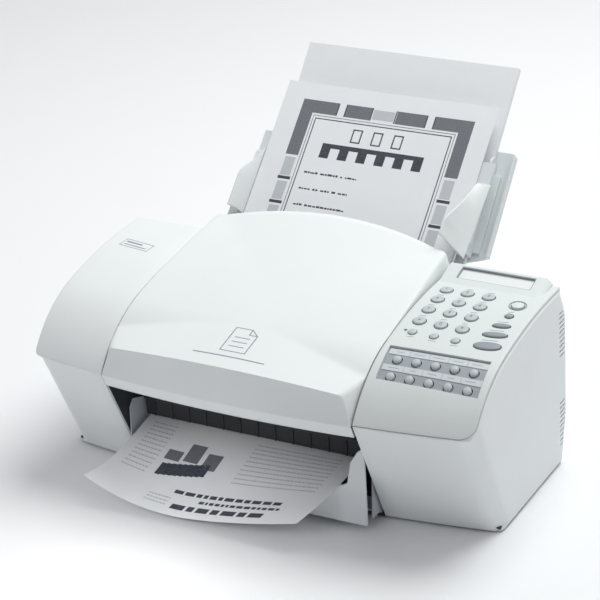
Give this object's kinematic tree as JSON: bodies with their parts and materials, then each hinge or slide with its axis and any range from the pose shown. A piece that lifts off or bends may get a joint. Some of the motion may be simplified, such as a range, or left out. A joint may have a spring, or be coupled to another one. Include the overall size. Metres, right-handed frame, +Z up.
{
  "type": "fax machine",
  "caption": "Desktop inkjet fax machine with a bowed lift-up lid, sloped key panel, document feeder with edge guides and a loaded paper tray behind.",
  "frame": {"origin": "middle of the bounding box at desk level", "axes": "+X towards the control panel, +Y towards the paper tray at the rear, +Z up"},
  "size_m": [0.43, 0.4048, 0.301],
  "materials": {
    "shell_plastic": "fine-grained near-white",
    "panel_plastic": "satin near-white",
    "base_plastic": "grained grey",
    "tray_plastic": "smooth pale grey",
    "dark_plastic": "satin black",
    "display_plastic": "clear over pale liquid crystal",
    "number_plastic": "satin pale grey",
    "function_plastic": "satin grey",
    "touch_plastic": "satin grey",
    "roller_rubber": "matt black",
    "belt_rubber": "toothed black",
    "feet_rubber": "matt dark grey",
    "steel": "ground",
    "circuit_board": "green solder mask",
    "paper": "uncoated white"
  },
  "bodies": {
    "chassis": {"base_chassis": "base_plastic", "left_housing": "shell_plastic", "right_housing": "shell_plastic", "rear_cover": "shell_plastic", "control_panel": "panel_plastic", "display_window": "display_plastic", "keypad_circuit": "circuit_board", "output_tray": "base_plastic", "paper_tray": "tray_plastic", "document_tray": "base_plastic", "scan_bar": "dark_plastic", "carriage_rod": "steel", "drive_belt": "belt_rubber", "stepper_motors": "steel", "main_board": "circuit_board", "power_inlet": "dark_plastic", "rubber_feet": "feet_rubber", "screws": "steel"},
    "lid": {"top_lid": "shell_plastic"},
    "width_guide": {"paper_width_guide": "tray_plastic"},
    "document_guide_left": {"document_guide_left": "shell_plastic"},
    "document_guide_right": {"document_guide_right": "shell_plastic"},
    "document_roller": {"document_roller": "roller_rubber"},
    "feed_roller": {"feed_roller": "roller_rubber"},
    "exit_roller": {"exit_roller": "roller_rubber"},
    "print_carriage": {"print_carriage": "dark_plastic", "ink_cartridge": "dark_plastic"},
    "paper_stack": {"paper_stack": "paper"},
    "document_sheet": {"document_sheet": "paper"},
    "printed_page": {"printed_page": "paper"},
    "number_key_1": {"number_key_1": "number_plastic"},
    "number_key_2": {"number_key_2": "number_plastic"},
    "number_key_3": {"number_key_3": "number_plastic"},
    "number_key_4": {"number_key_4": "number_plastic"},
    "number_key_5": {"number_key_5": "number_plastic"},
    "number_key_6": {"number_key_6": "number_plastic"},
    "number_key_7": {"number_key_7": "number_plastic"},
    "number_key_8": {"number_key_8": "number_plastic"},
    "number_key_9": {"number_key_9": "number_plastic"},
    "number_key_star": {"number_key_star": "number_plastic"},
    "number_key_0": {"number_key_0": "number_plastic"},
    "number_key_hash": {"number_key_hash": "number_plastic"},
    "menu_key": {"menu_key": "function_plastic"},
    "redial_key": {"redial_key": "function_plastic"},
    "pause_key": {"pause_key": "function_plastic"},
    "stop_key": {"stop_key": "function_plastic"},
    "copy_key": {"copy_key": "function_plastic"},
    "enter_key": {"enter_key": "function_plastic"},
    "start_key": {"start_key": "function_plastic"},
    "fax_key": {"fax_key": "function_plastic"},
    "one_touch_key_1": {"one_touch_key_1": "touch_plastic"},
    "one_touch_key_2": {"one_touch_key_2": "touch_plastic"},
    "one_touch_key_3": {"one_touch_key_3": "touch_plastic"},
    "one_touch_key_4": {"one_touch_key_4": "touch_plastic"},
    "one_touch_key_5": {"one_touch_key_5": "touch_plastic"},
    "one_touch_key_6": {"one_touch_key_6": "touch_plastic"},
    "one_touch_key_7": {"one_touch_key_7": "touch_plastic"},
    "one_touch_key_8": {"one_touch_key_8": "touch_plastic"},
    "one_touch_key_9": {"one_touch_key_9": "touch_plastic"},
    "one_touch_key_10": {"one_touch_key_10": "touch_plastic"}
  },
  "joints": [
    {"name": "lid_hinge", "type": "hinge", "parent": "chassis", "child": "lid", "pos_m": [-0.0135, 0.03, 0.18], "axis": [-1, 0, 0], "range_deg": [0, 30]},
    {"name": "document_roller_spin", "type": "hinge", "parent": "chassis", "child": "document_roller", "pos_m": [-0.0135, 0.01334, 0.13121], "axis": [1, 0, 0], "continuous": true},
    {"name": "feed_roller_spin", "type": "hinge", "parent": "chassis", "child": "feed_roller", "pos_m": [-0.008, 0.014, 0.0646], "axis": [1, 0, 0], "continuous": true},
    {"name": "exit_roller_spin", "type": "hinge", "parent": "chassis", "child": "exit_roller", "pos_m": [-0.0135, -0.088, 0.0439], "axis": [1, 0, 0], "continuous": true},
    {"name": "carriage_slide", "type": "slide", "parent": "chassis", "child": "print_carriage", "axis": [-1, 0, 0], "range_m": [0, 0.15]},
    {"name": "paper_width_slide", "type": "slide", "parent": "chassis", "child": "width_guide", "axis": [1, 0, 0], "range_m": [0, 0.006]},
    {"name": "document_guide_left_slide", "type": "slide", "parent": "chassis", "child": "document_guide_left", "axis": [-1, 0, 0], "range_m": [0, 0.006]},
    {"name": "document_guide_right_slide", "type": "slide", "parent": "chassis", "child": "document_guide_right", "axis": [1, 0, 0], "range_m": [0, 0.006]},
    {"name": "paper_stack_slide", "type": "slide", "parent": "chassis", "child": "paper_stack", "axis": [0, 0.6833, 0.7302], "range_m": [0, 0.15]},
    {"name": "document_slide", "type": "slide", "parent": "chassis", "child": "document_sheet", "axis": [0, 0.7431, 0.6691], "range_m": [0, 0.1]},
    {"name": "page_slide", "type": "slide", "parent": "chassis", "child": "printed_page", "axis": [0, -1, 0], "range_m": [0, 0.06]},
    {"name": "number_1_press", "type": "slide", "parent": "chassis", "child": "number_key_1", "axis": [-0.0011, 0.0101, -0.9999], "range_m": [0, 0.0012], "stiffness_N_per_m": 300},
    {"name": "number_2_press", "type": "slide", "parent": "chassis", "child": "number_key_2", "axis": [-0.0021, 0.0159, -0.9999], "range_m": [0, 0.0012], "stiffness_N_per_m": 300},
    {"name": "number_3_press", "type": "slide", "parent": "chassis", "child": "number_key_3", "axis": [-0.0033, 0.0224, -0.9997], "range_m": [0, 0.0012], "stiffness_N_per_m": 300},
    {"name": "number_4_press", "type": "slide", "parent": "chassis", "child": "number_key_4", "axis": [-0.006, 0.0539, -0.9985], "range_m": [0, 0.0012], "stiffness_N_per_m": 300},
    {"name": "number_5_press", "type": "slide", "parent": "chassis", "child": "number_key_5", "axis": [-0.0077, 0.0595, -0.9982], "range_m": [0, 0.0012], "stiffness_N_per_m": 300},
    {"name": "number_6_press", "type": "slide", "parent": "chassis", "child": "number_key_6", "axis": [-0.0097, 0.0658, -0.9978], "range_m": [0, 0.0012], "stiffness_N_per_m": 300},
    {"name": "number_7_press", "type": "slide", "parent": "chassis", "child": "number_key_7", "axis": [-0.0107, 0.0977, -0.9952], "range_m": [0, 0.0012], "stiffness_N_per_m": 300},
    {"name": "number_8_press", "type": "slide", "parent": "chassis", "child": "number_key_8", "axis": [-0.0131, 0.1031, -0.9946], "range_m": [0, 0.0012], "stiffness_N_per_m": 300},
    {"name": "number_9_press", "type": "slide", "parent": "chassis", "child": "number_key_9", "axis": [-0.0158, 0.1093, -0.9939], "range_m": [0, 0.0012], "stiffness_N_per_m": 300},
    {"name": "number_star_press", "type": "slide", "parent": "chassis", "child": "number_key_star", "axis": [-0.0153, 0.1416, -0.9898], "range_m": [0, 0.0012], "stiffness_N_per_m": 300},
    {"name": "number_0_press", "type": "slide", "parent": "chassis", "child": "number_key_0", "axis": [-0.0183, 0.1468, -0.989], "range_m": [0, 0.0012], "stiffness_N_per_m": 300},
    {"name": "number_hash_press", "type": "slide", "parent": "chassis", "child": "number_key_hash", "axis": [-0.0217, 0.1527, -0.988], "range_m": [0, 0.0012], "stiffness_N_per_m": 300},
    {"name": "menu_press", "type": "slide", "parent": "chassis", "child": "menu_key", "axis": [-0.0193, 0.1804, -0.9834], "range_m": [0, 0.0012], "stiffness_N_per_m": 300},
    {"name": "redial_press", "type": "slide", "parent": "chassis", "child": "redial_key", "axis": [-0.023, 0.1855, -0.9824], "range_m": [0, 0.0012], "stiffness_N_per_m": 300},
    {"name": "pause_press", "type": "slide", "parent": "chassis", "child": "pause_key", "axis": [-0.027, 0.1913, -0.9812], "range_m": [0, 0.0012], "stiffness_N_per_m": 300},
    {"name": "stop_press", "type": "slide", "parent": "chassis", "child": "stop_key", "axis": [-0.008, 0.0456, -0.9989], "range_m": [0, 0.0012], "stiffness_N_per_m": 300},
    {"name": "copy_press", "type": "slide", "parent": "chassis", "child": "copy_key", "axis": [-0.0153, 0.0891, -0.9959], "range_m": [0, 0.0012], "stiffness_N_per_m": 300},
    {"name": "enter_press", "type": "slide", "parent": "chassis", "child": "enter_key", "axis": [-0.0215, 0.1269, -0.9917], "range_m": [0, 0.0012], "stiffness_N_per_m": 300},
    {"name": "start_press", "type": "slide", "parent": "chassis", "child": "start_key", "axis": [-0.0267, 0.1595, -0.9868], "range_m": [0, 0.0012], "stiffness_N_per_m": 300},
    {"name": "fax_press", "type": "slide", "parent": "chassis", "child": "fax_key", "axis": [-0.0325, 0.1971, -0.9798], "range_m": [0, 0.0012], "stiffness_N_per_m": 300},
    {"name": "one_touch_key_1_press", "type": "slide", "parent": "chassis", "child": "one_touch_key_1", "axis": [-0.0546, 0.4096, -0.9107], "range_m": [0, 0.0012], "stiffness_N_per_m": 300},
    {"name": "one_touch_key_2_press", "type": "slide", "parent": "chassis", "child": "one_touch_key_2", "axis": [-0.0546, 0.4096, -0.9107], "range_m": [0, 0.0012], "stiffness_N_per_m": 300},
    {"name": "one_touch_key_3_press", "type": "slide", "parent": "chassis", "child": "one_touch_key_3", "axis": [-0.0546, 0.4096, -0.9107], "range_m": [0, 0.0012], "stiffness_N_per_m": 300},
    {"name": "one_touch_key_4_press", "type": "slide", "parent": "chassis", "child": "one_touch_key_4", "axis": [-0.0546, 0.4096, -0.9107], "range_m": [0, 0.0012], "stiffness_N_per_m": 300},
    {"name": "one_touch_key_5_press", "type": "slide", "parent": "chassis", "child": "one_touch_key_5", "axis": [-0.0546, 0.4096, -0.9107], "range_m": [0, 0.0012], "stiffness_N_per_m": 300},
    {"name": "one_touch_key_6_press", "type": "slide", "parent": "chassis", "child": "one_touch_key_6", "axis": [-0.0546, 0.4096, -0.9107], "range_m": [0, 0.0012], "stiffness_N_per_m": 300},
    {"name": "one_touch_key_7_press", "type": "slide", "parent": "chassis", "child": "one_touch_key_7", "axis": [-0.0546, 0.4096, -0.9107], "range_m": [0, 0.0012], "stiffness_N_per_m": 300},
    {"name": "one_touch_key_8_press", "type": "slide", "parent": "chassis", "child": "one_touch_key_8", "axis": [-0.0546, 0.4096, -0.9107], "range_m": [0, 0.0012], "stiffness_N_per_m": 300},
    {"name": "one_touch_key_9_press", "type": "slide", "parent": "chassis", "child": "one_touch_key_9", "axis": [-0.0546, 0.4096, -0.9107], "range_m": [0, 0.0012], "stiffness_N_per_m": 300},
    {"name": "one_touch_key_10_press", "type": "slide", "parent": "chassis", "child": "one_touch_key_10", "axis": [-0.0546, 0.4096, -0.9107], "range_m": [0, 0.0012], "stiffness_N_per_m": 300}
  ],
  "couplings": [
    {"joint": "exit_roller_spin", "follows": "feed_roller_spin", "ratio": 2.4561},
    {"joint": "document_guide_right_slide", "follows": "document_guide_left_slide", "ratio": 1}
  ]
}
